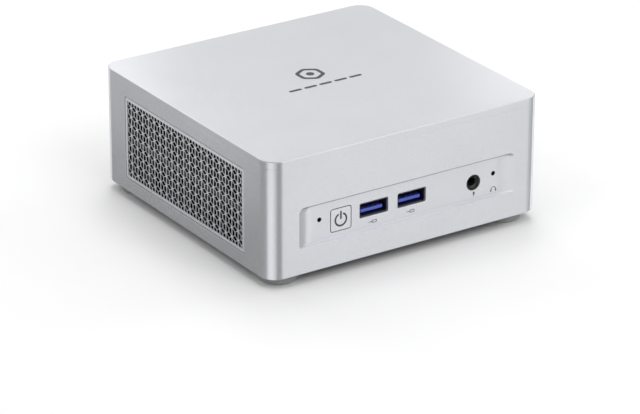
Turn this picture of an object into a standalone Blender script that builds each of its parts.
"""A small square desktop computer, built as an assembly of separate solids.

Frame: metres, +Z up, the front face looks along -Y, and the origin is at the middle of the footprint on the
surface that the feet stand on.
"""

import math

import bmesh
import bpy
from mathutils import Matrix, Vector

MM = 0.001

# Driving dimensions.
WIDTH = 127.0 * MM
DEPTH = 123.4 * MM
BODY_HEIGHT = 48.8 * MM
FOOT_HEIGHT = 4.1 * MM
CORNER_RADIUS = 6.7 * MM
WALL = 2.0 * MM
LID_RIM = 3.1 * MM
LID_PLATE = 2.0 * MM
GAP = 0.3 * MM
OVERLAP = 0.5 * MM
LONG = 20.0 * MM

# Levels, from the surface that it stands on.
BODY_BOTTOM = FOOT_HEIGHT
BODY_TOP = FOOT_HEIGHT + BODY_HEIGHT
SEAM = BODY_TOP - LID_RIM
COVER_BOTTOM = BODY_BOTTOM + GAP
COVER_TOP = COVER_BOTTOM + 2.0 * MM
BOARD_TOP = 20.05 * MM
BOARD_BOTTOM = BOARD_TOP - 1.6 * MM
ON_BOARD = BOARD_TOP + GAP
UNDER_BOARD = BOARD_BOTTOM - GAP
PILLAR_TOP = 41.7 * MM

# Outer and inner faces of the walls.
SIDE_OUT = WIDTH / 2
SIDE_IN = SIDE_OUT - WALL
FRONT_OUT = -DEPTH / 2
FRONT_IN = FRONT_OUT + WALL
REAR_OUT = DEPTH / 2
REAR_IN = REAR_OUT - WALL

# The shallow pocket in the front wall that holds the controls and sockets.
RECESS_CENTRE = 0.7 * MM
RECESS_HALF = 50.3 * MM
RECESS_LOW = BODY_BOTTOM + 10.9 * MM
RECESS_HIGH = BODY_BOTTOM + 27.4 * MM
RECESS_DEPTH = 1.8 * MM
RECESS_RAMP = 6.5 * MM
FRONT_SKIN = 1.6 * MM
FLOOR_Y = FRONT_OUT + RECESS_DEPTH
FLOOR_BACK = FLOOR_Y + FRONT_SKIN

# Controls and sockets on the front: x, then z.
POWER_AT = (-29.9 * MM, BODY_BOTTOM + 18.0 * MM)
RESET_AT = (-39.8 * MM, BODY_BOTTOM + 20.0 * MM)
MICROPHONE_AT = (42.0 * MM, BODY_BOTTOM + 20.0 * MM)
AUDIO_AT = (32.5 * MM, BODY_BOTTOM + 18.3 * MM)
FRONT_USB_X = (-14.6 * MM, 3.1 * MM)
POWER_SIDE = 9.2 * MM
PINHOLE = 0.95 * MM
AUDIO_RADIUS = 3.1 * MM

# A socket's shell: width, height and depth.
USB_A = (12.9 * MM, 5.55 * MM, 14.0 * MM)
USB_C = (8.9 * MM, 3.2 * MM, 8.0 * MM)
HDMI = (14.5 * MM, 5.5 * MM, 11.0 * MM)
ETHERNET = (16.0 * MM, 13.4 * MM, 18.0 * MM)
DC = (9.2 * MM, 11.0 * MM, 13.0 * MM)
SHELL_WALL = 0.35 * MM

# Sockets on the rear, by x.
DC_X = 43.5 * MM
USB_C_X = 32.5 * MM
HDMI_X = 17.5 * MM
ETHERNET_X = -1.0 * MM
REAR_USB_X = (-21.0 * MM, -39.0 * MM)
REAR_PANEL = 1.5 * MM
REAR_FACE = REAR_OUT - 0.4 * MM
REAR_HALF = 53.7 * MM
REAR_LOW = BODY_BOTTOM + 3.3 * MM
REAR_HIGH = BODY_BOTTOM + 32.4 * MM

# Side grilles.
GRILLE_Y = 0.4 * MM
GRILLE_Z = BODY_BOTTOM + 23.1 * MM
GRILLE_WIDTH = 87.8 * MM
GRILLE_HEIGHT = 34.8 * MM
GRILLE_HOLE_WIDTH = 85.0 * MM
GRILLE_HOLE_HEIGHT = 32.2 * MM
GRILLE_THICKNESS = 1.5 * MM
GRILLE_FLANGE = 1.0 * MM

# Feet, pillars, screws and lid latches, mirrored to the four corners.
FOOT_AT = (53.0 * MM, 51.2 * MM)
FOOT_RADIUS = 7.5 * MM
PILLAR = 12.0 * MM
LEDGE = 14.0 * MM
LATCH_AT = (55.5 * MM, 53.7 * MM)

# Cooling under the board.
BLOWER_AT = (-26.0 * MM, 5.0 * MM)
BLOWER_RADIUS = 27.0 * MM
BLOWER_LOW = 7.2 * MM
BLOWER_HIGH = 17.6 * MM
BLOWER_SKIN = 1.2 * MM
BLOWER_OUTLET_Y = 41.0 * MM
INLET_RADIUS = 18.0 * MM
IMPELLER_RADIUS = 23.0 * MM
CPU_AT = (26.0 * MM, 2.0 * MM)

# Cooling above the board.
FAN_AT = (-6.0 * MM, -2.0 * MM)
FAN_SIDE = 60.0 * MM
FAN_LOW = 37.0 * MM
FAN_HIGH = 47.0 * MM
FAN_BORE = 28.0 * MM
BRACKET_LOW = 35.5 * MM
BRACKET_HIGH = 36.7 * MM

CORNERS = {
    "front_left": (-1, -1),
    "front_right": (1, -1),
    "rear_left": (-1, 1),
    "rear_right": (1, 1),
}


def clear_scene():
    for obj in list(bpy.data.objects):
        bpy.data.objects.remove(obj)


def collection(name):
    made = bpy.data.collections.new(name)
    bpy.context.scene.collection.children.link(made)
    return made


def material(name, colour, roughness, metallic=0.0):
    made = bpy.data.materials.new(name)
    made.use_nodes = True
    shader = made.node_tree.nodes["Principled BSDF"]
    shader.inputs["Base Color"].default_value = (*colour, 1.0)
    shader.inputs["Roughness"].default_value = roughness
    shader.inputs["Metallic"].default_value = metallic
    return made


# Shapes. Each returns an object whose mesh is in the row frame and whose origin is the frame's.


def mesh_object(name, bm):
    mesh = bpy.data.meshes.new(name)
    bmesh.ops.recalc_face_normals(bm, faces=bm.faces)
    bm.to_mesh(mesh)
    bm.free()
    obj = bpy.data.objects.new(name, mesh)
    PARTS.objects.link(obj)
    return obj


def add_block(bm, low, high):
    low, high = Vector(low), Vector(high)
    place = Matrix.Translation((low + high) / 2) @ Matrix.Diagonal((*(high - low), 1.0))
    return bmesh.ops.create_cube(bm, size=1.0, matrix=place)["verts"]


def block(name, low, high, radius=0.0, axis=2, segments=5):
    """A box between two corners, with the four edges along axis rounded to radius."""
    bm = bmesh.new()
    add_block(bm, low, high)
    if radius:
        along = [e for e in bm.edges if abs((e.verts[1].co - e.verts[0].co).normalized()[axis]) > 0.9]
        bmesh.ops.bevel(
            bm, geom=along, offset=radius, segments=segments, profile=0.5, affect="EDGES", clamp_overlap=True
        )
    return mesh_object(name, bm)


def blocks(name, pairs):
    """Several boxes that don't touch, in one mesh."""
    bm = bmesh.new()
    for low, high in pairs:
        add_block(bm, low, high)
    return mesh_object(name, bm)


AXIS_TURN = {0: Matrix.Rotation(math.pi / 2, 4, "Y"), 1: Matrix.Rotation(-math.pi / 2, 4, "X"), 2: Matrix()}


def rods(name, centres, radius, start, end, axis=2, segments=24):
    """Cylinders along axis from start to end, through points given by their other two coordinates."""
    bm = bmesh.new()
    for centre in centres:
        point = list(centre)
        point.insert(axis, (start + end) / 2)
        bmesh.ops.create_cone(
            bm,
            cap_ends=True,
            segments=segments,
            radius1=radius,
            radius2=radius,
            depth=abs(end - start),
            matrix=Matrix.Translation(point) @ AXIS_TURN[axis],
        )
    return mesh_object(name, bm)


def rod(name, centre, radius, start, end, axis=2, segments=24):
    return rods(name, [centre], radius, start, end, axis, segments)


def prism(name, outline, start, end):
    """An outline of (x, y) points extruded along Z."""
    bm = bmesh.new()
    face = bm.faces.new([bm.verts.new((x, y, start)) for x, y in outline])
    grown = bmesh.ops.extrude_face_region(bm, geom=[face])["geom"]
    for vert in (g for g in grown if isinstance(g, bmesh.types.BMVert)):
        vert.co.z = end
    return mesh_object(name, bm)


def combine(target, tool, operation):
    """Cuts tool from target, or joins it on, and removes tool."""
    modifier = target.modifiers.new(operation.lower(), "BOOLEAN")
    modifier.operation = operation
    modifier.solver = "EXACT"
    modifier.object = tool
    bpy.context.view_layer.update()
    graph = bpy.context.evaluated_depsgraph_get()
    result = bpy.data.meshes.new_from_object(target.evaluated_get(graph))
    target.modifiers.clear()
    target.data = result
    bpy.data.objects.remove(tool)
    return target


def cut(target, *tools):
    for tool in tools:
        combine(target, tool, "DIFFERENCE")
    return target


def join(target, *tools):
    for tool in tools:
        combine(target, tool, "UNION")
    return target


def soften(obj, width, segments=1, angle=40.0):
    """Rounds the sharp edges."""
    modifier = obj.modifiers.new("soften", "BEVEL")
    modifier.width = width
    modifier.segments = segments
    modifier.limit_method = "ANGLE"
    modifier.angle_limit = math.radians(angle)
    return obj


def put(obj, finish, origin=None):
    """Gives a finished piece its material and smooth shading and, if it moves, an origin on its joint's axis."""
    obj.data.materials.clear()
    obj.data.materials.append(finish)
    obj.data.shade_smooth()
    obj.data.set_sharp_from_angle(angle=math.radians(30))
    if origin is not None:
        obj.data.transform(Matrix.Translation(-Vector(origin)))
        obj.location = origin
    return obj


# Casing.


def recess_outline():
    """The front pocket seen from above: a flat floor that a concave arc brings up to the wall at each end."""
    radius = (RECESS_RAMP**2 + RECESS_DEPTH**2) / (2 * RECESS_DEPTH)
    steepest = math.asin(RECESS_RAMP / radius)
    steps = 6
    ramp = []
    for step in range(steps + 1):
        angle = steepest * step / steps
        ramp.append((RECESS_HALF - RECESS_RAMP + radius * math.sin(angle), FLOOR_Y - radius * (1 - math.cos(angle))))
    outside = FRONT_OUT - LONG
    right = [(RECESS_CENTRE + x, y) for x, y in ramp]
    left = [(RECESS_CENTRE - x, y) for x, y in reversed(ramp)]
    return right + [(right[-1][0], outside), (left[0][0], outside)] + left


def housing():
    """The four walls, with a pillar in each corner for the feet screws, the board and the lid latches."""
    body = block(
        "housing",
        (-SIDE_OUT, FRONT_OUT, BODY_BOTTOM),
        (SIDE_OUT, REAR_OUT, SEAM - GAP / 2),
        CORNER_RADIUS,
        segments=8,
    )
    inside = block(
        "inside",
        (-SIDE_IN, FRONT_IN, BODY_BOTTOM - LONG),
        (SIDE_IN, REAR_IN, SEAM + LONG),
        CORNER_RADIUS - WALL,
        segments=6,
    )
    cut(body, inside)
    pad = block(
        "pad",
        (RECESS_CENTRE - RECESS_HALF, FRONT_IN - OVERLAP, RECESS_LOW - 1.2 * MM),
        (RECESS_CENTRE + RECESS_HALF, FLOOR_BACK, RECESS_HIGH + 1.2 * MM),
    )
    join(body, pad)
    for x, y in CORNERS.values():
        for side, low, high in (
            (PILLAR, COVER_TOP + GAP, PILLAR_TOP),
            (LEDGE, COVER_TOP + GAP, BOARD_BOTTOM - GAP),
        ):
            near = (x * (SIDE_IN - side), y * (REAR_IN - side), low)
            far = (x * (SIDE_IN + OVERLAP), y * (REAR_IN + OVERLAP), high)
            corner = block(
                "corner",
                [min(a, b) for a, b in zip(near, far)],
                [max(a, b) for a, b in zip(near, far)],
            )
            outer = block(
                "outer",
                (-SIDE_OUT + WALL / 2, FRONT_OUT + WALL / 2, 0),
                (SIDE_OUT - WALL / 2, REAR_OUT - WALL / 2, BODY_TOP),
                CORNER_RADIUS - WALL / 2,
            )
            join(body, combine(corner, outer, "INTERSECT"))
    feet = [(x * FOOT_AT[0], y * FOOT_AT[1]) for x, y in CORNERS.values()]
    cut(body, rods("pilots", feet, 1.7 * MM, 0, COVER_TOP + 9.0 * MM, segments=16))
    cut(body, prism("recess", recess_outline(), RECESS_LOW, RECESS_HIGH))
    cut_front_holes(body)
    grille_gap = GRILLE_WIDTH / 2 + GAP
    for side in (-1, 1):
        x = sorted((side * (SIDE_IN - WALL), side * (SIDE_OUT + WALL)))
        window = block(
            "window",
            (x[0], GRILLE_Y - grille_gap, GRILLE_Z - GRILLE_HEIGHT / 2 - GAP),
            (x[1], GRILLE_Y + grille_gap, GRILLE_Z + GRILLE_HEIGHT / 2 + GAP),
            1.3 * MM,
            axis=0,
            segments=3,
        )
        cut(body, window)
    rear = block(
        "rear",
        (-REAR_HALF - GAP, REAR_IN - WALL, REAR_LOW - GAP),
        (REAR_HALF + GAP, REAR_OUT + WALL, REAR_HIGH + GAP),
        1.3 * MM,
        axis=1,
        segments=3,
    )
    cut(body, rear)
    # The pillars stop short of the rear panel's flange.
    flange = block(
        "flange",
        (-REAR_HALF - 1.5 * MM, REAR_IN - 1.6 * MM, REAR_LOW - 0.5 * MM),
        (REAR_HALF + 1.5 * MM, REAR_IN, REAR_HIGH + 1.5 * MM),
    )
    cut(body, flange)
    return put(body, SILVER)


def cut_front_holes(body):
    """The holes in the pocket's floor for the button, the pinholes and the sockets."""
    start, end = FRONT_OUT - WALL, FLOOR_BACK + WALL
    half = POWER_SIDE / 2 + GAP
    button = block(
        "button_hole",
        (POWER_AT[0] - half, start, POWER_AT[1] - half),
        (POWER_AT[0] + half, end, POWER_AT[1] + half),
        1.2 * MM,
        axis=1,
        segments=3,
    )
    cut(body, button)
    for centre, radius in ((RESET_AT, PINHOLE), (MICROPHONE_AT, PINHOLE), (AUDIO_AT, AUDIO_RADIUS + GAP)):
        cut(body, rod("hole", centre, radius, start, end, axis=1))
    for x in FRONT_USB_X:
        cut(body, port_hole(x, USB_A, start, end))


def port_hole(x, size, start, end, radius=0.5 * MM, low=ON_BOARD, gap=0.27 * MM):
    """A cutter for a socket that stands on the board."""
    return block(
        "port_hole",
        (x - size[0] / 2 - gap, min(start, end), low - gap),
        (x + size[0] / 2 + gap, max(start, end), low + size[1] + gap),
        radius,
        axis=1,
        segments=2,
    )


def top_cover():
    """The lid: a plate with a short rim, a locating skirt inside the walls and a post for each latch."""
    lid = block(
        "top_cover",
        (-SIDE_OUT, FRONT_OUT, SEAM + GAP / 2),
        (SIDE_OUT, REAR_OUT, BODY_TOP),
        CORNER_RADIUS,
        segments=8,
    )
    soften(lid, 0.6 * MM, 2)
    hollow = block(
        "hollow",
        (-SIDE_IN, FRONT_IN, SEAM - LONG),
        (SIDE_IN, REAR_IN, BODY_TOP - LID_PLATE),
        CORNER_RADIUS - WALL,
        segments=6,
    )
    cut(lid, hollow)
    inset = 0.4 * MM
    skirt_wall = 1.2 * MM
    skirt = block(
        "skirt",
        (-SIDE_IN + inset, FRONT_IN + inset, SEAM - 2.0 * MM),
        (SIDE_IN - inset, REAR_IN - inset, BODY_TOP - LID_PLATE / 2),
        CORNER_RADIUS - WALL - inset,
        segments=4,
    )
    skirt_inside = block(
        "skirt_inside",
        (-SIDE_IN + inset + skirt_wall, FRONT_IN + inset + skirt_wall, SEAM - LONG),
        (SIDE_IN - inset - skirt_wall, REAR_IN - inset - skirt_wall, BODY_TOP),
        CORNER_RADIUS - WALL - inset - skirt_wall,
        segments=3,
    )
    cut(skirt, skirt_inside)
    join(lid, skirt)
    posts = [(x * LATCH_AT[0], y * LATCH_AT[1]) for x, y in CORNERS.values()]
    join(lid, rods("posts", posts, 1.8 * MM, PILLAR_TOP + 2.6 * MM, BODY_TOP - LID_PLATE / 2, segments=12))
    return put(lid, SILVER, (0, 0, SEAM))


def bottom_cover():
    """The floor plate, with air slots under the blower and holes for the feet screws."""
    plate = block(
        "bottom_cover",
        (-SIDE_IN + GAP, FRONT_IN + GAP, COVER_BOTTOM),
        (SIDE_IN - GAP, REAR_IN - GAP, COVER_TOP),
        CORNER_RADIUS - WALL - GAP,
        segments=5,
    )
    low, high = COVER_BOTTOM - WALL, COVER_TOP + WALL
    screws = [(x * FOOT_AT[0], y * FOOT_AT[1]) for x, y in CORNERS.values()]
    cut(plate, rods("screw_holes", screws, 1.7 * MM, low, high, segments=16))
    slots = []
    for row in range(-4, 5):
        y = BLOWER_AT[1] + row * 4.2 * MM
        half = math.sqrt(INLET_RADIUS**2 - (row * 4.2 * MM) ** 2)
        for side in (-1, 1):
            ends = sorted((BLOWER_AT[0] + side * 1.2 * MM, BLOWER_AT[0] + side * half))
            slots.append(((ends[0], y - 1.1 * MM, low), (ends[1], y + 1.1 * MM, high)))
    cut(plate, blocks("slots", slots))
    return put(plate, DARK_PLASTIC)


def rear_panel():
    """The plate behind the rear sockets: it sits in the rear opening and a flange holds it from inside."""
    panel = block(
        "rear_panel",
        (-REAR_HALF, REAR_FACE - REAR_PANEL, REAR_LOW),
        (REAR_HALF, REAR_FACE, REAR_HIGH),
        1.0 * MM,
        axis=1,
        segments=3,
    )
    flange = block(
        "flange",
        (-REAR_HALF - 1.2 * MM, REAR_IN - GAP - 0.8 * MM, REAR_LOW),
        (REAR_HALF + 1.2 * MM, REAR_IN - GAP, REAR_HIGH + 1.2 * MM),
    )
    web = block(
        "web",
        (-REAR_HALF + 0.4 * MM, REAR_IN - 0.5 * MM, REAR_LOW + 0.4 * MM),
        (REAR_HALF - 0.4 * MM, REAR_IN + 0.5 * MM, REAR_HIGH - 0.4 * MM),
    )
    join(panel, web, flange)
    start, end = REAR_IN - 3.0 * MM, REAR_OUT + WALL
    for x, size in (
        (DC_X, DC),
        (USB_C_X, USB_C),
        (HDMI_X, HDMI),
        (ETHERNET_X, ETHERNET),
        (REAR_USB_X[0], USB_A),
        (REAR_USB_X[1], USB_A),
    ):
        cut(panel, port_hole(x, size, start, end))
    pitch, half, low, high = 4.0 * MM, 1.0 * MM, REAR_LOW + 1.4 * MM, BOARD_BOTTOM - 1.2 * MM
    slots = [((i * pitch - half, start, low), (i * pitch + half, end, high)) for i in range(-12, 13)]
    cut(panel, blocks("exhaust", slots))
    return put(panel, DARK_PLASTIC)


def side_grille(name, side):
    """A vented insert for a side wall, held from inside by a flange. Upright slots stand in for its lattice."""
    face = side * (SIDE_OUT - 0.2 * MM)
    back = face - side * (GRILLE_THICKNESS + 0.9 * MM)
    low, high = sorted((face, back))
    panel = block(
        name,
        (low, GRILLE_Y - GRILLE_WIDTH / 2, GRILLE_Z - GRILLE_HEIGHT / 2),
        (high, GRILLE_Y + GRILLE_WIDTH / 2, GRILLE_Z + GRILLE_HEIGHT / 2),
        1.0 * MM,
        axis=0,
        segments=3,
    )
    ends = sorted((side * (SIDE_IN - GAP), side * (SIDE_IN - GAP - 0.8 * MM)))
    half_width, half_height = GRILLE_WIDTH / 2 + GRILLE_FLANGE, GRILLE_HEIGHT / 2 + GRILLE_FLANGE
    flange = block(
        "flange",
        (ends[0], GRILLE_Y - half_width, GRILLE_Z - half_height),
        (ends[1], GRILLE_Y + half_width, GRILLE_Z + half_height),
    )
    join(panel, flange)
    columns, rows, rib = 24, 3, 1.2 * MM
    step_y, step_z = GRILLE_HOLE_WIDTH / columns, GRILLE_HOLE_HEIGHT / rows
    windows = []
    for i in range(columns):
        y = GRILLE_Y - GRILLE_HOLE_WIDTH / 2 + (i + 0.5) * step_y
        for j in range(rows):
            z = GRILLE_Z - GRILLE_HOLE_HEIGHT / 2 + (j + 0.5) * step_z
            windows.append(
                (
                    (min(low, ends[0]) - WALL, y - (step_y - rib) / 2, z - (step_z - rib) / 2),
                    (max(high, ends[1]) + WALL, y + (step_y - rib) / 2, z + (step_z - rib) / 2),
                )
            )
    cut(panel, blocks("windows", windows))
    return put(panel, SILVER)


def feet_and_screws():
    """Each foot is a rubber ring, and the screw in its middle holds the bottom cover to the housing."""
    for name, (x, y) in CORNERS.items():
        centre = (x * FOOT_AT[0], y * FOOT_AT[1])
        foot = rod(f"foot_{name}", centre, FOOT_RADIUS, 0, FOOT_HEIGHT, segments=40)
        soften(foot, 0.5 * MM)
        cut(foot, rod("well", centre, 3.4 * MM, -WALL, FOOT_HEIGHT + WALL))
        put(foot, RUBBER)
        screw = rod(f"bottom_screw_{name}", centre, 2.8 * MM, 2.4 * MM, FOOT_HEIGHT)
        join(screw, rod("shank", centre, 1.4 * MM, FOOT_HEIGHT - OVERLAP, COVER_TOP + 7.5 * MM, segments=16))
        cross = [
            ((centre[0] - a, centre[1] - b, 0), (centre[0] + a, centre[1] + b, 3.2 * MM))
            for a, b in ((1.5 * MM, 0.35 * MM), (0.35 * MM, 1.5 * MM))
        ]
        for low, high in cross:
            cut(screw, block("cross", low, high))
        put(screw, STEEL)


def lid_latches():
    for name, (x, y) in CORNERS.items():
        centre = Vector((x * LATCH_AT[0], y * LATCH_AT[1], 0))
        half = 3.6 * MM
        latch = block(
            f"lid_latch_{name}",
            centre + Vector((-half, -half, PILLAR_TOP + GAP)),
            centre + Vector((half, half, SEAM - 2.6 * MM)),
            0.8 * MM,
            segments=2,
        )
        cut(latch, rod("socket", centre.xy, 2.2 * MM, PILLAR_TOP + 2.0 * MM, BODY_TOP, segments=16))
        put(latch, BLACK_PLASTIC)


# Front controls.


def power_button():
    """A square key with a retaining flange and a stem that pushes the switch's plunger."""
    half, flange = POWER_SIDE / 2, POWER_SIDE / 2 + 0.9 * MM
    x, z = POWER_AT
    key = block(
        "power_button",
        (x - half, FLOOR_Y, z - half),
        (x + half, FLOOR_BACK + GAP + 0.4 * MM, z + half),
        0.9 * MM,
        axis=1,
        segments=3,
    )
    plate = block(
        "plate",
        (x - flange, FLOOR_BACK + GAP, z - 1.5 * MM),
        (x + flange, FLOOR_BACK + GAP + 1.0 * MM, z + flange),
    )
    join(key, plate, rod("stem", (x, z), 1.4 * MM, FLOOR_BACK + GAP, SWITCH_FACE - 0.9 * MM, axis=1, segments=12))
    return put(key, SILVER, (x, FLOOR_Y, z))


SWITCH_FACE = FLOOR_BACK + 5.5 * MM
RESET_FACE = FLOOR_BACK + 1.2 * MM


def tactile_switch(name, x, z, face, height):
    """A switch body standing on the board with a plunger that slides in its front face."""
    body = block(
        name,
        (x - 3.0 * MM, face, ON_BOARD),
        (x + 3.0 * MM, face + 3.4 * MM, ON_BOARD + height),
    )
    cut(body, rod("bore", (x, z), 1.3 * MM, face - WALL, face + 2.4 * MM, axis=1, segments=16))
    put(body, BLACK_PLASTIC)
    plunger = rod(f"{name}_plunger", (x, z), 1.0 * MM, face - 0.6 * MM, face + 1.6 * MM, axis=1, segments=12)
    put(plunger, BROWN_PLASTIC, (x, face - 0.6 * MM, z))


def microphone():
    x, z = MICROPHONE_AT
    face = FLOOR_BACK + GAP
    boot = block("microphone", (x - 2.4 * MM, face, ON_BOARD), (x + 2.4 * MM, face + 3.4 * MM, z + 2.2 * MM))
    cut(boot, rod("sound_port", (x, z), 0.6 * MM, face - WALL, face + 2.0 * MM, axis=1, segments=12))
    return put(boot, BLACK_PLASTIC)


def audio_jack():
    x, z = AUDIO_AT
    jack = block(
        "audio_jack",
        (x - 3.6 * MM, FLOOR_BACK + GAP, ON_BOARD),
        (x + 3.6 * MM, FLOOR_BACK + 12.0 * MM, z + 3.2 * MM),
    )
    join(jack, rod("barrel", (x, z), AUDIO_RADIUS, FLOOR_Y + 0.2 * MM, FLOOR_BACK + 0.7 * MM, axis=1))
    cut(jack, rod("bore", (x, z), 1.8 * MM, FLOOR_Y - WALL, FLOOR_BACK + 10.0 * MM, axis=1))
    return put(jack, BLACK_PLASTIC)


# Sockets. mouth is the y of the open end and inward is +1 or -1, the way into the case along Y.


def shell(name, x, size, mouth, inward, radius):
    """A pressed metal tube, closed at its inner end."""
    ends = sorted((mouth, mouth + inward * size[2]))
    body = block(
        name,
        (x - size[0] / 2, ends[0], ON_BOARD),
        (x + size[0] / 2, ends[1], ON_BOARD + size[1]),
        radius,
        axis=1,
        segments=3,
    )
    ends = sorted((mouth - inward * WALL, mouth + inward * (size[2] - 0.8 * MM)))
    hollow = block(
        "hollow",
        (x - size[0] / 2 + SHELL_WALL, ends[0], ON_BOARD + SHELL_WALL),
        (x + size[0] / 2 - SHELL_WALL, ends[1], ON_BOARD + size[1] - SHELL_WALL),
        max(radius - SHELL_WALL, 0.15 * MM),
        axis=1,
        segments=3,
    )
    return put(cut(body, hollow), STEEL)


def tongue(name, x, low, width, thickness, mouth, inward, recess, depth, finish, base):
    """The contact tongue, with a block at its root that fills the inner end of the shell."""
    ends = sorted((mouth + inward * recess, mouth + inward * depth))
    bar = block(name, (x - width / 2, ends[0], low), (x + width / 2, ends[1], low + thickness))
    root = sorted((mouth + inward * (depth - 1.2 * MM), mouth + inward * depth))
    join(bar, block("root", (x - base[0] / 2, root[0], base[1]), (x + base[0] / 2, root[1], base[2])))
    return put(bar, finish)


def usb_a(name, x, mouth, inward):
    shell(f"{name}_shell", x, USB_A, mouth, inward, 0.5 * MM)
    inner_low, inner_high = ON_BOARD + SHELL_WALL + GAP, ON_BOARD + USB_A[1] - SHELL_WALL - GAP
    base = (USB_A[0] - 2 * SHELL_WALL - 2 * GAP, inner_low, inner_high)
    low = ON_BOARD + USB_A[1] / 2 - 1.75 * MM
    tongue(f"{name}_tongue", x, low, 10.4 * MM, 1.6 * MM, mouth, inward, 1.5 * MM, 12.8 * MM, BLUE_PLASTIC, base)


def rear_sockets():
    mouth = REAR_FACE - 0.2 * MM
    for name, x in zip(("usb_rear_inner", "usb_rear_outer"), REAR_USB_X):
        usb_a(name, x, mouth, -1)
    shell("usb_c_shell", USB_C_X, USB_C, mouth, -1, 1.5 * MM)
    middle = ON_BOARD + USB_C[1] / 2
    base = (6.4 * MM, middle - 0.9 * MM, middle + 0.9 * MM)
    tongue("usb_c_tongue", USB_C_X, middle - 0.35 * MM, 6.4 * MM, 0.7 * MM, mouth, -1, 0.8 * MM, 6.8 * MM, BLACK_PLASTIC, base)
    shell("hdmi_shell", HDMI_X, HDMI, mouth, -1, 1.0 * MM)
    base = (13.0 * MM, ON_BOARD + SHELL_WALL + GAP, ON_BOARD + HDMI[1] - SHELL_WALL - GAP)
    tongue("hdmi_tongue", HDMI_X, ON_BOARD + 2.3 * MM, 11.0 * MM, 1.2 * MM, mouth, -1, 1.0 * MM, 9.8 * MM, BLACK_PLASTIC, base)
    dc_jack(mouth)
    ethernet_port(mouth)


def dc_jack(mouth):
    z = ON_BOARD + DC[1] / 2
    body = block("dc_jack", (DC_X - DC[0] / 2, mouth - DC[2], ON_BOARD), (DC_X + DC[0] / 2, mouth, ON_BOARD + DC[1]))
    cut(body, rod("bore", (DC_X, z), 3.1 * MM, mouth - DC[2] + 2.0 * MM, mouth + WALL, axis=1))
    put(body, BLACK_PLASTIC)
    pin = rod("dc_jack_pin", (DC_X, z), 1.2 * MM, mouth - DC[2] + 2.3 * MM, mouth - 1.0 * MM, axis=1, segments=16)
    put(pin, STEEL)


def ethernet_port(mouth):
    """A shielded socket with the stepped opening that a network plug and its latch need."""
    width, height, depth = ETHERNET
    body = block(
        "ethernet_port",
        (ETHERNET_X - width / 2, mouth - depth, ON_BOARD),
        (ETHERNET_X + width / 2, mouth, ON_BOARD + height),
    )
    inner = mouth - depth + 4.0 * MM
    plug = block(
        "plug",
        (ETHERNET_X - 5.9 * MM, inner, ON_BOARD + 3.9 * MM),
        (ETHERNET_X + 5.9 * MM, mouth + WALL, ON_BOARD + 11.2 * MM),
    )
    latch = block(
        "latch",
        (ETHERNET_X - 3.1 * MM, inner, ON_BOARD + 1.0 * MM),
        (ETHERNET_X + 3.1 * MM, mouth + WALL, ON_BOARD + 4.2 * MM),
    )
    cut(body, plug, latch)
    return put(body, STEEL)


# Electronics.


def motherboard():
    half_x, front, rear = SIDE_IN - 1.6 * MM, FLOOR_BACK + 1.5 * MM, REAR_IN - 1.6 * MM
    board = block("motherboard", (-half_x, front, BOARD_BOTTOM), (half_x, rear, BOARD_TOP))
    notch = PILLAR + 0.5 * MM
    corners = []
    for x, y in CORNERS.values():
        near = (x * (SIDE_IN - notch), y * (REAR_IN - notch))
        far = (x * (SIDE_IN + WALL), y * (REAR_IN + WALL))
        low = (min(near[0], far[0]), min(near[1], far[1]), BOARD_BOTTOM - WALL)
        high = (max(near[0], far[0]), max(near[1], far[1]), BOARD_TOP + WALL)
        corners.append((low, high))
    cut(board, blocks("notches", corners))
    return put(board, BOARD)


def processor():
    x, y = CPU_AT
    low = UNDER_BOARD - 1.2 * MM
    chip = block("processor", (x - 22.5 * MM, y - 12.5 * MM, low), (x + 22.5 * MM, y + 12.5 * MM, UNDER_BOARD))
    die = block("die", (x - 11.0 * MM, y - 5.0 * MM, low - 0.6 * MM), (x + 8.0 * MM, y + 5.0 * MM, low + OVERLAP))
    join(chip, die)
    return put(chip, CHIP)


def cold_plate():
    x, y = CPU_AT
    top = UNDER_BOARD - 1.8 * MM - GAP
    plate = block("cold_plate", (x - 20.0 * MM, y - 17.0 * MM, top - 1.6 * MM), (x + 20.0 * MM, y + 17.0 * MM, top))
    return put(plate, COPPER)


def heat_pipe():
    """A copper pipe from the cold plate, round to the fins behind the blower's outlet."""
    z = UNDER_BOARD - 1.8 * MM - 1.6 * MM - 2 * GAP - PIPE_RADIUS
    turn = 12.0 * MM
    x, y = CPU_AT[0], FIN_Y
    path = [(x, CPU_AT[1] - 14.0 * MM, z), (x, y - turn, z)]
    for step in range(1, 6):
        angle = math.pi / 2 * step / 6
        path.append((x - turn * (1 - math.cos(angle)), y - turn * (1 - math.sin(angle)), z))
    path += [(x - turn, y, z), (FIN_LEFT + 4.0 * MM, y, z)]
    curve = bpy.data.curves.new("heat_pipe", "CURVE")
    curve.dimensions = "3D"
    curve.bevel_depth = PIPE_RADIUS
    curve.bevel_resolution = 2
    curve.use_fill_caps = True
    spline = curve.splines.new("POLY")
    spline.points.add(len(path) - 1)
    for point, place in zip(spline.points, path):
        point.co = (*place, 1.0)
    pipe = bpy.data.objects.new("heat_pipe", curve)
    PARTS.objects.link(pipe)
    curve.materials.append(COPPER)
    return pipe


PIPE_RADIUS = 1.6 * MM
FIN_Y = 49.0 * MM
FIN_LEFT = -45.8 * MM
FIN_RIGHT = 10.0 * MM


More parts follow.
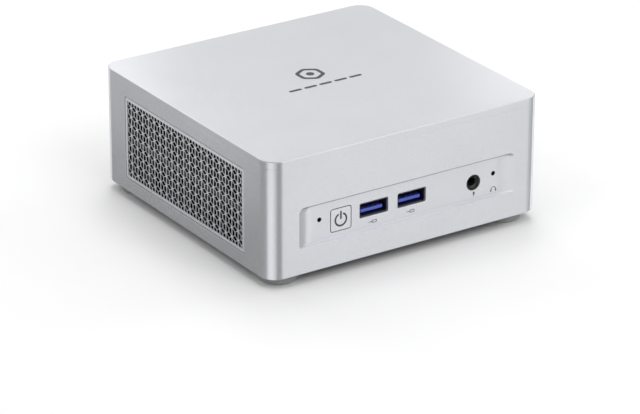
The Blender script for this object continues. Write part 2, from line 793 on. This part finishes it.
def fin_stack():
    """Thin fins that the blower's air passes between, on a tie plate, with a tunnel for the heat pipe."""
    low, high = 7.2 * MM, UNDER_BOARD - 0.5 * MM
    front, rear = BLOWER_OUTLET_Y + 1.0 * MM, REAR_IN - 2.2 * MM
    count, thickness = 29, 0.35 * MM
    pitch = (FIN_RIGHT - FIN_LEFT - thickness) / (count - 1)
    fins = []
    for i in range(count):
        x = FIN_LEFT + i * pitch
        fins.append(((x, front, low), (x + thickness, rear, high)))
    stack = block("fin_stack", (FIN_LEFT - 0.2 * MM, front, high - 0.4 * MM), (FIN_RIGHT + 0.2 * MM, rear, high + 0.2 * MM))
    join(stack, blocks("fins", fins))
    pipe_z = UNDER_BOARD - 1.8 * MM - 1.6 * MM - 2 * GAP - PIPE_RADIUS
    tunnel = rod("tunnel", (FIN_Y, pipe_z), PIPE_RADIUS + GAP, FIN_LEFT - WALL, FIN_RIGHT + WALL, axis=0, segments=12)
    cut(stack, tunnel)
    return put(stack, ALUMINIUM)


def blower_housing():
    """A scroll casing: air enters through the round hole underneath and leaves through the open rear end."""
    x, y = BLOWER_AT
    case = rod("blower_housing", BLOWER_AT, BLOWER_RADIUS, BLOWER_LOW, BLOWER_HIGH, segments=40)
    duct = block("duct", (x - BLOWER_RADIUS, y, BLOWER_LOW), (x + BLOWER_RADIUS, BLOWER_OUTLET_Y, BLOWER_HIGH))
    join(case, duct)
    inner, low, high = BLOWER_RADIUS - BLOWER_SKIN, BLOWER_LOW + BLOWER_SKIN, BLOWER_HIGH - BLOWER_SKIN
    room = rod("room", BLOWER_AT, inner, low, high, segments=40)
    join(room, block("way_out", (x - inner, y, low), (x + inner, BLOWER_OUTLET_Y + WALL, high)))
    cut(case, room, rod("inlet", BLOWER_AT, INLET_RADIUS, BLOWER_LOW - WALL, low + OVERLAP, segments=40))
    return put(case, BLACK_PLASTIC)


def blower_impeller():
    """A drum of short blades on a disc, with the motor's hub in the middle."""
    low, high = BLOWER_LOW + 2.0 * MM, BLOWER_HIGH - BLOWER_SKIN - 0.8 * MM
    wheel = rod("blower_impeller", BLOWER_AT, IMPELLER_RADIUS, high - 1.0 * MM, high, segments=40)
    join(wheel, rod("hub", BLOWER_AT, 10.0 * MM, low, high - OVERLAP, segments=32))
    bm = bmesh.new()
    count = 27
    for i in range(count):
        verts = add_block(
            bm, (17.0 * MM, -0.4 * MM, low), (IMPELLER_RADIUS - 0.6 * MM, 0.4 * MM, high - OVERLAP)
        )
        lean = Matrix.Translation((20.0 * MM, 0, 0)) @ Matrix.Rotation(0.5, 4, "Z") @ Matrix.Translation((-20.0 * MM, 0, 0))
        turn = Matrix.Rotation(2 * math.pi * i / count, 4, "Z")
        bmesh.ops.transform(bm, matrix=Matrix.Translation((*BLOWER_AT, 0)) @ turn @ lean, verts=verts)
    join(wheel, mesh_object("blades", bm))
    return put(wheel, BLACK_PLASTIC, (*BLOWER_AT, low))


MEMORY_LEFT = -57.0 * MM
MEMORY_LENGTH = 69.6 * MM
MEMORY_DEPTH = 30.0 * MM


def memory(index, front, level):
    """A laptop memory module lying in its socket, with chips on its top face."""
    left, right = MEMORY_LEFT, MEMORY_LEFT + MEMORY_LENGTH
    body = block(f"memory_socket_{index}", (left - 1.0 * MM, front - 5.0 * MM, ON_BOARD), (right + 1.0 * MM, front + 2.0 * MM, level + 2.6 * MM))
    slot = block("slot", (left - GAP, front - 1.2 * MM, level - GAP), (right + GAP, front + LONG, level + 1.2 * MM + GAP))
    cut(body, slot)
    arms = [
        ((left - 2.2 * MM, front, level - 1.0 * MM), (left - GAP, front + 24.0 * MM, level + 1.6 * MM)),
        ((right + GAP, front, level - 1.0 * MM), (right + 2.2 * MM, front + 24.0 * MM, level + 1.6 * MM)),
    ]
    join(body, blocks("arms", arms))
    put(body, BLACK_PLASTIC)
    board = block(f"memory_module_{index}", (left, front - 0.8 * MM, level), (right, front + MEMORY_DEPTH, level + 1.2 * MM))
    chips = []
    for i in range(4):
        x = left + (5.5 + i * 15.5 + (1.5 if i > 1 else 0)) * MM
        chips.append(((x, front + 12.0 * MM, level + 0.6 * MM), (x + 11.0 * MM, front + 24.5 * MM, level + 2.2 * MM)))
    join(board, blocks("chips", chips))
    put(board, BOARD)


SSD_FRONT = 12.0 * MM
SSD_LEVEL = ON_BOARD + 3.2 * MM
SSD_LEFT = -55.0 * MM


def solid_state_drive():
    """An M.2 2280 drive: a thin board with three chips, in an edge socket at its right end."""
    right = SSD_LEFT + 80.0 * MM
    rear = SSD_FRONT + 22.0 * MM
    socket = block("ssd_socket", (right - 2.5 * MM, SSD_FRONT - 0.5 * MM, ON_BOARD), (right + 5.0 * MM, rear + 0.5 * MM, SSD_LEVEL + 2.2 * MM))
    cut(socket, block("slot", (right - LONG, SSD_FRONT - GAP, SSD_LEVEL - GAP), (right + 1.0 * MM, rear + GAP, SSD_LEVEL + 0.8 * MM + GAP)))
    put(socket, BLACK_PLASTIC)
    drive = block("ssd_module", (SSD_LEFT, SSD_FRONT, SSD_LEVEL), (right, rear, SSD_LEVEL + 0.8 * MM))
    spans = ((14, 29), (33, 48), (55, 67))
    chips = [
        ((SSD_LEFT + a * MM, SSD_FRONT + 3.0 * MM, SSD_LEVEL + 0.4 * MM), (SSD_LEFT + b * MM, rear - 3.0 * MM, SSD_LEVEL + 2.2 * MM))
        for a, b in spans
    ]
    join(drive, blocks("chips", chips))
    put(drive, BOARD)


def wireless_card():
    left, right, front, rear = 24.0 * MM, 54.0 * MM, -33.5 * MM, -11.5 * MM
    card = block("wireless_card", (left, front, ON_BOARD + 1.6 * MM), (right, rear, ON_BOARD + 2.4 * MM))
    can = block("can", (left + 6.0 * MM, front + 3.0 * MM, ON_BOARD + 2.0 * MM), (right - 8.0 * MM, rear - 3.0 * MM, ON_BOARD + 4.0 * MM))
    foot = block("foot", (right - 4.0 * MM, front, ON_BOARD), (right, rear, ON_BOARD + 2.0 * MM))
    join(card, can, foot)
    return put(card, STEEL)


def coin_cell():
    holder = rod("coin_cell", (44.0 * MM, 0.0), 10.0 * MM, ON_BOARD, ON_BOARD + 3.2 * MM, segments=32)
    return put(soften(holder, 0.3 * MM), STEEL)


def fan_bracket():
    """A sheet that carries the fan above the memory and the drive, on four legs that stand on the board."""
    x, y = FAN_AT
    sheet = block("fan_bracket", (-50.0 * MM, -40.0 * MM, BRACKET_LOW), (50.0 * MM, 38.0 * MM, BRACKET_HIGH), 3.0 * MM, segments=3)
    cut(sheet, rod("opening", FAN_AT, FAN_BORE, BRACKET_LOW - WALL, BRACKET_HIGH + WALL, segments=40))
    slots = []
    for side in range(6):
        left = 30.0 * MM + side * 2.9 * MM
        slots.append(((left, -30.0 * MM, BRACKET_LOW - WALL), (left + 1.4 * MM, 28.0 * MM, BRACKET_HIGH + WALL)))
    cut(sheet, blocks("slots", slots))
    legs = [(46.5 * MM, -36.5 * MM), (46.5 * MM, 34.5 * MM), (18.5 * MM, -36.5 * MM), (-47.5 * MM, 36.2 * MM)]
    join(sheet, rods("legs", legs, 1.6 * MM, ON_BOARD, BRACKET_LOW + OVERLAP, segments=12))
    return put(sheet, STEEL)


def fan_frame():
    """A square axial fan frame, with a motor seat that three struts hold in the bore."""
    x, y = FAN_AT
    half = FAN_SIDE / 2
    frame = block("fan_frame", (x - half, y - half, FAN_LOW), (x + half, y + half, FAN_HIGH), 3.0 * MM, segments=3)
    cut(frame, rod("bore", FAN_AT, FAN_BORE, FAN_LOW - WALL, FAN_HIGH + WALL, segments=48))
    seat = rod("seat", FAN_AT, 11.0 * MM, FAN_LOW, FAN_LOW + 1.2 * MM, segments=32)
    bm = bmesh.new()
    for i in range(3):
        verts = add_block(bm, (10.0 * MM, -1.0 * MM, FAN_LOW), (FAN_BORE + 1.0 * MM, 1.0 * MM, FAN_LOW + 1.2 * MM))
        turn = Matrix.Rotation(2 * math.pi * i / 3, 4, "Z")
        bmesh.ops.transform(bm, matrix=Matrix.Translation((x, y, 0)) @ turn, verts=verts)
    join(seat, mesh_object("struts", bm))
    join(frame, seat)
    return put(frame, BLACK_PLASTIC)


def fan_rotor():
    """Seven pitched blades on a hub."""
    low, high = FAN_LOW + 1.8 * MM, FAN_HIGH - 0.6 * MM
    hub = rod("fan_rotor", FAN_AT, 11.0 * MM, low, high, segments=32)
    bm = bmesh.new()
    count = 7
    for i in range(count):
        verts = add_block(bm, (10.0 * MM, -8.5 * MM, -0.5 * MM), (26.6 * MM, 8.5 * MM, 0.5 * MM))
        pitch = Matrix.Translation((0, 0, (low + high) / 2)) @ Matrix.Rotation(0.36, 4, "X")
        turn = Matrix.Rotation(2 * math.pi * i / count, 4, "Z")
        bmesh.ops.transform(bm, matrix=Matrix.Translation((*FAN_AT, 0)) @ turn @ pitch, verts=verts)
    blades = mesh_object("blades", bm)
    limit = rod("limit", FAN_AT, FAN_BORE - 0.8 * MM, low, high, segments=40)
    join(hub, combine(blades, limit, "INTERSECT"))
    return put(hub, BLACK_PLASTIC, (*FAN_AT, low))


def build():
    housing()
    top_cover()
    bottom_cover()
    rear_panel()
    side_grille("left_grille", -1)
    side_grille("right_grille", 1)
    feet_and_screws()
    lid_latches()
    power_button()
    tactile_switch("power_switch", *POWER_AT, SWITCH_FACE, 3.8 * MM)
    tactile_switch("reset_switch", *RESET_AT, RESET_FACE, 5.7 * MM)
    microphone()
    audio_jack()
    for name, x in zip(("usb_front_left", "usb_front_right"), FRONT_USB_X):
        usb_a(name, x, FLOOR_Y + GAP, 1)
    rear_sockets()
    motherboard()
    processor()
    cold_plate()
    heat_pipe()
    fin_stack()
    blower_housing()
    blower_impeller()
    memory(1, -33.0 * MM, ON_BOARD + 2.6 * MM)
    memory(2, -40.0 * MM, ON_BOARD + 7.6 * MM)
    solid_state_drive()
    wireless_card()
    coin_cell()
    fan_bracket()
    fan_frame()
    fan_rotor()


clear_scene()
PARTS = collection("mini_pc")
SILVER = material("silver_shell", (0.62, 0.63, 0.65), 0.35, 0.6)
DARK_PLASTIC = material("dark_plastic", (0.05, 0.05, 0.055), 0.6)
BLACK_PLASTIC = material("black_plastic", (0.02, 0.02, 0.022), 0.45)
BROWN_PLASTIC = material("switch_plunger", (0.20, 0.11, 0.06), 0.5)
BLUE_PLASTIC = material("usb_blue", (0.03, 0.09, 0.55), 0.35)
RUBBER = material("grey_rubber", (0.25, 0.26, 0.25), 0.8)
STEEL = material("steel", (0.60, 0.60, 0.62), 0.3, 1.0)
ALUMINIUM = material("aluminium", (0.75, 0.76, 0.78), 0.35, 1.0)
COPPER = material("copper", (0.75, 0.38, 0.22), 0.3, 1.0)
BOARD = material("circuit_board", (0.01, 0.09, 0.05), 0.5)
CHIP = material("chip", (0.03, 0.03, 0.035), 0.4)
build()
